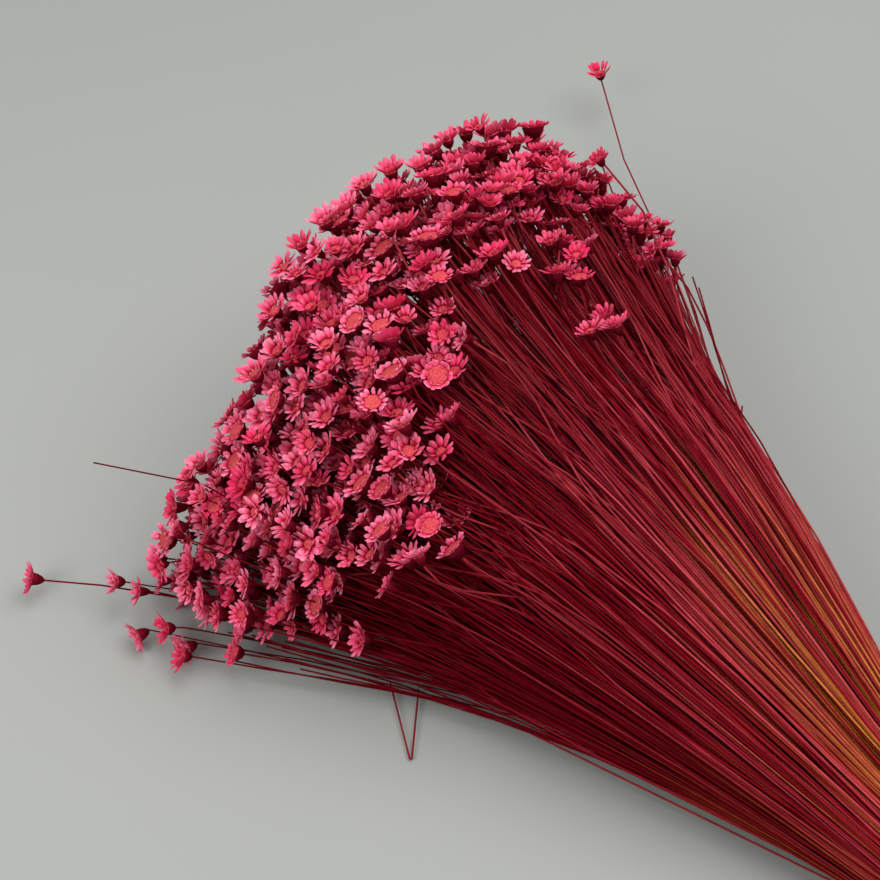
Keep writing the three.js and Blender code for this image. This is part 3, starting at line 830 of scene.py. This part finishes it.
class Nodes:
    """A material's node tree, with short ways to add to it."""

    def __init__(self, name):
        self.material = bpy.data.materials.new(name)
        self.material.use_nodes = True
        self.tree = self.material.node_tree
        self.shader = self.tree.nodes["Principled BSDF"]

    def add(self, kind, inputs=None, **settings):
        made = self.tree.nodes.new(kind)
        for key, value in settings.items():
            setattr(made, key, value)
        for key, value in (inputs or {}).items():
            self.feed(made.inputs[key], value)
        return made

    def feed(self, socket, value):
        if isinstance(value, bpy.types.NodeSocket):
            self.tree.links.new(value, socket)
        else:
            socket.default_value = value

    def attribute(self, name):
        return self.add("ShaderNodeAttribute", attribute_name=name).outputs["Fac"]

    def places(self, scale):
        where = self.add("ShaderNodeTexCoord").outputs["Object"]
        return self.add("ShaderNodeMapping", {"Vector": where, "Scale": scale}).outputs[0]

    def noise(self, scale, detail=3.0):
        inputs = {"Vector": self.places(scale), "Scale": 1.0, "Detail": detail}
        return self.add("ShaderNodeTexNoise", inputs).outputs["Fac"]

    def mix(self, share, low, high):
        made = self.add("ShaderNodeMix", data_type="RGBA")
        self.feed(made.inputs[0], share)
        self.feed(made.inputs[6], low)
        self.feed(made.inputs[7], high)
        return made.outputs[2]

    def math(self, operation, first, second=0.0):
        made = self.add("ShaderNodeMath", operation=operation, use_clamp=True)
        self.feed(made.inputs[0], first)
        self.feed(made.inputs[1], second)
        return made.outputs[0]

    def spread(self, value, low, high, to_low=0.0, to_high=1.0):
        inputs = {
            "Value": value, "From Min": low, "From Max": high,
            "To Min": to_low, "To Max": to_high,
        }
        return self.add("ShaderNodeMapRange", inputs).outputs[0]

    def bump(self, height, strength, distance):
        inputs = {"Height": height, "Strength": strength, "Distance": distance}
        self.feed(self.shader.inputs["Normal"], self.add("ShaderNodeBump", inputs).outputs[0])

    def finish(self, color, roughness, shine=0.5, **numbers):
        self.feed(self.shader.inputs["Base Color"], color)
        self.feed(self.shader.inputs["Roughness"], roughness)
        self.feed(self.shader.inputs["Specular IOR Level"], shine)
        for key, value in numbers.items():
            self.feed(self.shader.inputs[key.replace("_", " ").title()], value)
        return self.material


# Colours that stay as they are: the warmest discs, and the wood in a stem's cut face
ORANGE = (0.67, 0.125, 0.085)
PALE_WOOD = (0.62, 0.42, 0.2)

# How much the stems, cups and discs shine, and how much the bracts do: hardly at all
DULL = 0.03
PAPERY = 0.04


def rgba(color, gain=1.0):
    return (*(min(1, channel * gain) for channel in color), 1)


def stem_material(stems):
    """Dyed wine red stems with painted shade just below the heads, losing their dye towards the
    cut ends.
    """
    nodes = Nodes("glixia stem")
    along = nodes.attribute("along")
    chance = nodes.attribute("chance")
    ripe = nodes.attribute("ripe")
    streak = nodes.noise((40, 900, 900))
    # Each stem's chance sets its dye and carries painted light on the right, painted shade on the
    # left and on headless stems
    dark = nodes.mix(nodes.spread(chance, 0, 0.45), rgba(stems.wine, 0.5), rgba(stems.wine))
    dyed = nodes.mix(nodes.spread(chance, 0.4, 1), dark, rgba(stems.rose))
    faded = nodes.mix(nodes.spread(ripe, 0.5, 1), rgba(stems.rust), rgba(stems.straw))
    fade = nodes.math("MULTIPLY", nodes.spread(along, 0.24, 0.47), ripe)
    tail = nodes.spread(along, 0.62, 1, 0, 0.75)
    color = nodes.mix(nodes.math("MAXIMUM", fade, tail), dyed, faded)
    # Painted shade: the stems darken just below the heads, under the shade of the crown
    color = nodes.mix(nodes.spread(along, 0.04, 0.3, 0.6, 0), color, rgba(stems.wine, 0.35))
    color = nodes.mix(nodes.spread(streak, 0.4, 0.75, 0, 0.4), color, rgba(stems.wine, 0.5))
    nodes.bump(streak, 0.35, 0.0001)
    return nodes.finish(color, 0.6, DULL)


def cup_material(heads):
    """The red cup of overlapping scales under the bracts, darkened with painted shade."""
    nodes = Nodes("glixia cup")
    along = nodes.attribute("along")
    scales = nodes.noise((900, 900, 900))
    # Painted shade: the cup's crimson darkened, as it lies under the bracts
    dark = rgba(heads.crimson, 0.36)
    color = nodes.mix(nodes.spread(along, 0.5, 1, 0, 0.3), dark, rgba(heads.pink, 0.6))
    color = nodes.mix(nodes.spread(scales, 0.4, 0.7, 0, 0.5), color, rgba(heads.crimson, 0.2))
    nodes.bump(scales, 0.5, 0.0002)
    return nodes.finish(color, 0.7, DULL)


def bract_material(heads):
    """Papery bracts: deep at the base, pale at the tip, with fine veins along them."""
    nodes = Nodes("glixia bract")
    along = nodes.attribute("along")
    chance = nodes.attribute("chance")
    veins = nodes.noise((1400, 1400, 1400))
    patches = nodes.noise((110, 110, 110))
    color = nodes.mix(nodes.spread(along, 0, 0.42), rgba(heads.crimson, 0.8), rgba(heads.pink))
    # Each head's chance sets the blush of its tips and carries the painted shade on the right
    pale = nodes.math("MULTIPLY", nodes.spread(along, 0.25, 0.8), nodes.spread(chance, -0.1, 0.8))
    color = nodes.mix(pale, color, rgba(heads.blush))
    deep = nodes.spread(patches, 0.45, 0.7, 0, 0.5)
    color = nodes.mix(deep, color, rgba(heads.crimson, 1.4))
    color = nodes.mix(nodes.spread(veins, 0.5, 0.75, 0, 0.15), color, rgba(heads.crimson, 2))
    nodes.bump(veins, 0.3, 0.0001)
    return nodes.finish(color, 0.65, PAPERY, subsurface_weight=0.15, subsurface_scale=1 * MM)


def disc_material(heads):
    """The flat coral middle, packed with tiny florets."""
    nodes = Nodes("glixia disc")
    chance = nodes.attribute("chance")
    inputs = {"Vector": nodes.places((2600, 2600, 2600)), "Scale": 1.0}
    florets = nodes.add("ShaderNodeTexVoronoi", inputs).outputs["Distance"]
    # Each head's chance, kept low on the right as painted shade, also sets how warm the disc is
    warm = nodes.mix(nodes.spread(chance, 0, 1, 0, 0.6), rgba(heads.coral), rgba(ORANGE))
    color = nodes.mix(nodes.spread(florets, 0.3, 0.8, 0, 0.85), warm, rgba(heads.pink, 0.6))
    nodes.bump(nodes.math("SUBTRACT", 1.0, florets), 0.6, 0.0002)
    return nodes.finish(color, 0.8, DULL)


def pith_material(stems):
    """The pale cut faces of the stems."""
    nodes = Nodes("glixia pith")
    grain = nodes.noise((3000, 3000, 3000))
    color = nodes.mix(nodes.spread(grain, 0.3, 0.7), rgba(PALE_WOOD), rgba(stems.straw, 0.6))
    return nodes.finish(color, 0.8)


def rubber_material(band):
    """A plain rubber band, faintly dusty and ribbed along its length."""
    nodes = Nodes("rubber band")
    dust = nodes.noise((350, 350, 350), 5)
    ribs = nodes.noise((4000, 150, 150))
    color = nodes.mix(nodes.spread(dust, 0.35, 0.7), rgba(band.tan), rgba(band.tan, 0.72))
    nodes.bump(ribs, 0.3, 0.0001)
    return nodes.finish(color, nodes.spread(dust, 0.3, 0.7, 0.42, 0.6))


def floor_material(stage):
    """A pale matt table top with the faintest clouding."""
    nodes = Nodes("plain floor")
    clouds = nodes.noise((4, 4, 4))
    grey = stage.floor_grey
    color = nodes.mix(nodes.spread(clouds, 0.3, 0.7), rgba(grey), rgba(grey, 0.965))
    return nodes.finish(color, 0.85)


# Operators

def finish_piece(name, bm, materials, *nodes):
    """Turns a bmesh into a piece that rides on the bunch and stands for its solids."""
    mesh = bpy.data.meshes.new(name)
    bm.to_mesh(mesh)
    bm.free()
    for material in materials:
        mesh.materials.append(material)
    piece = bpy.data.objects.new(name, mesh)
    bpy.context.scene.collection.objects.link(piece)
    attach(piece, "root")
    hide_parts(*nodes)
    return piece


class GLIXIA_OT_sprays(Operator):
    """Grow the stems and flower heads of every spray, where its solid is"""
    bl_idname = "glixia.sprays"
    bl_label = "Sprays"

    def execute(self, context):
        stems, heads = context.scene.glixia_stems, context.scene.glixia_heads
        sprays = {name: read_spray(name) for name in SPRAYS}
        maker = SprayMaker(stems, heads, [f for flowers in sprays.values() for f in flowers])
        materials = [
            stem_material(stems), cup_material(heads), bract_material(heads),
            disc_material(heads), pith_material(stems),
        ]
        for name, flowers in sprays.items():
            low_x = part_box(name)[0].x
            bm = bmesh.new()
            layers = new_layers(bm, "along", "chance", "ripe")
            for flower in flowers:
                maker.grow_flower(bm, layers, flower, low_x)
                if flower.stray:
                    continue
                near = maker.nearest(flower)
                for _ in range(stems.headless):
                    maker.grow_between(bm, layers, flower, maker.random.choice(near), low_x)
            finish_piece(f"{name}_grown", bm, materials, name)
        return {"FINISHED"}


# The turns of the rubber band: every other one is this much tighter, and each is askew by up to
# this angle. A turn has so many steps round the stems and so many sides round the rubber.
TIGHTER = 0.2 * MM
ASKEW = 0.05
TURN_STEPS = 56
RUBBER_SIDES = 10


class GLIXIA_OT_band(Operator):
    """Wind the rubber band round the stems, in turns that lie side by side"""
    bl_idname = "glixia.band"
    bl_label = "Rubber band"

    def execute(self, context):
        band = context.scene.glixia_band
        rng = random.Random(SEED)
        bm = bmesh.new()
        room = band_high.x - band_low.x - band.width
        for turn in range(band.turns):
            x = band_low.x + band.width / 2 + room * turn / max(1, band.turns - 1)
            radius = BAND_OUTER - band.thickness / 2 - (turn % 2) * TIGHTER
            verts = bmesh.ops.create_circle(bm, segments=RUBBER_SIDES, radius=0.5)["verts"]
            bmesh.ops.scale(bm, vec=(band.width, band.thickness, 1), verts=verts)
            bmesh.ops.translate(bm, vec=(0, radius, 0), verts=verts)
            bm.edges.index_update()
            edges = in_order({edge for vert in verts for edge in vert.link_edges})
            bmesh.ops.spin(
                bm, geom=verts + edges, axis=(1, 0, 0), cent=(0, 0, 0), steps=TURN_STEPS,
                angle=math.tau, use_merge=True,
            )
            ring = reach(edges[0].verts[0], lambda vert: True)
            skew = Matrix.Rotation(rng.uniform(-ASKEW, ASKEW), 4, "Z")
            place = Matrix.Translation((x, GATHER.y, GATHER.z))
            bmesh.ops.transform(bm, matrix=place @ skew, verts=list(ring))
        for vert in bm.verts:
            vert.co.z = max(vert.co.z, 0)
        bmesh.ops.recalc_face_normals(bm, faces=bm.faces)
        for face in bm.faces:
            face.smooth = True
        finish_piece("rubber_band", bm, [rubber_material(band)], "band")
        return {"FINISHED"}


# How far the floor runs each way, in metres, the width of the camera's sensor in millimetres, how
# near the camera sees, in metres, and the colour of the light from all round
FLOOR_REACH = 9
SENSOR = 36
CLIP_START = 0.01
SKY = (0.94, 0.98, 1)

# Each light's size, the way to it as the camera stands (right, ahead and up), and its distance
KEY_LIGHT = (1.5, (0.4, 0.08, 1.2), 1.3)
SIDE_LIGHT = (0.6, (-0.6, -0.55, 0.75), 0.9)


class GLIXIA_OT_stage(Operator):
    """Set up the camera, the pale floor and the soft studio light"""
    bl_idname = "glixia.stage"
    bl_label = "Stage"

    def execute(self, context):
        stage = context.scene.glixia_stage
        self.add_camera(context, stage)
        self.add_floor(context, stage)
        self.add_light(context, stage)
        return {"FINISHED"}

    def add_camera(self, context, stage):
        camera = bpy.data.cameras.new("camera")
        camera.sensor_width = SENSOR
        camera.angle = stage.field
        camera.clip_start = CLIP_START
        seat = bpy.data.objects.new("camera", camera)
        flat = math.cos(stage.height)
        back = Vector((
            math.sin(stage.turn) * flat, -math.cos(stage.turn) * flat, math.sin(stage.height),
        ))
        self.aim(context, seat, back, stage.distance)
        context.scene.camera = seat

    def add_floor(self, context, stage):
        bm = bmesh.new()
        bmesh.ops.create_grid(bm, x_segments=1, y_segments=1, size=FLOOR_REACH)
        mesh = bpy.data.meshes.new("floor")
        bm.to_mesh(mesh)
        bm.free()
        mesh.materials.append(floor_material(stage))
        floor = bpy.data.objects.new("floor", mesh)
        floor.location.z = -HAIR
        context.scene.collection.objects.link(floor)

    def add_light(self, context, stage):
        context.scene.view_settings.view_transform = "Standard"
        world = bpy.data.worlds.new("studio")
        world.use_nodes = True
        sky = world.node_tree.nodes["Background"]
        sky.inputs["Color"].default_value = rgba(SKY)
        sky.inputs["Strength"].default_value = stage.fill
        context.scene.world = world
        self.hang(context, "key light", stage.key_power, *KEY_LIGHT)
        self.hang(context, "side light", stage.side_power, *SIDE_LIGHT)

    def hang(self, context, name, power, size, way, distance):
        """Hangs a round soft light that shines on what the camera looks at."""
        light = bpy.data.lights.new(name, "AREA")
        light.shape = "DISK"
        light.size = size
        light.energy = power
        seat = bpy.data.objects.new(name, light)
        turn = context.scene.glixia_stage.turn
        right = Vector((math.cos(turn), math.sin(turn), 0))
        ahead = Vector((-math.sin(turn), math.cos(turn), 0))
        back = (right * way[0] + ahead * way[1] + Vector((0, 0, way[2]))).normalized()
        self.aim(context, seat, back, distance)

    def aim(self, context, seat, back, distance):
        """Puts the camera or a light at a distance from LOOK_AT, and turns it to that point."""
        seat.location = LOOK_AT + back * distance
        seat.rotation_mode = "QUATERNION"
        seat.rotation_quaternion = (-back).to_track_quat("-Z", "Y")
        context.scene.collection.objects.link(seat)


class GLIXIA_PT_bunch(Panel):
    """The bunch's settings and its steps"""
    bl_idname = "GLIXIA_PT_bunch"
    bl_label = "Glixia bunch"
    bl_space_type = "VIEW_3D"
    bl_region_type = "UI"
    bl_category = "Glixia"

    def draw(self, context):
        layout = self.layout
        for operator, group in STEPS:
            box = layout.box()
            settings = getattr(context.scene, group)
            for key in settings.__annotations__:
                box.prop(settings, key)
            box.operator(operator)
            if group == "glixia_stems":
                for key in GlixiaHeads.__annotations__:
                    box.prop(context.scene.glixia_heads, key)


STEPS = (
    ("glixia.stage", "glixia_stage"),
    ("glixia.sprays", "glixia_stems"),
    ("glixia.band", "glixia_band"),
)
GROUPS = {
    "glixia_stems": GlixiaStems,
    "glixia_heads": GlixiaHeads,
    "glixia_band": GlixiaBand,
    "glixia_stage": GlixiaStage,
}
CLASSES = (
    *GROUPS.values(), GLIXIA_OT_sprays, GLIXIA_OT_band, GLIXIA_OT_stage, GLIXIA_PT_bunch,
)


def register():
    for one in CLASSES:
        bpy.utils.register_class(one)
    for name, group in GROUPS.items():
        setattr(bpy.types.Scene, name, PointerProperty(type=group))


def unregister():
    for name in GROUPS:
        delattr(bpy.types.Scene, name)
    for one in reversed(CLASSES):
        bpy.utils.unregister_class(one)


def main():
    register()
    bpy.ops.glixia.stage()
    bpy.ops.glixia.sprays()
    bpy.ops.glixia.band()


if __name__ == "__main__":
    main()
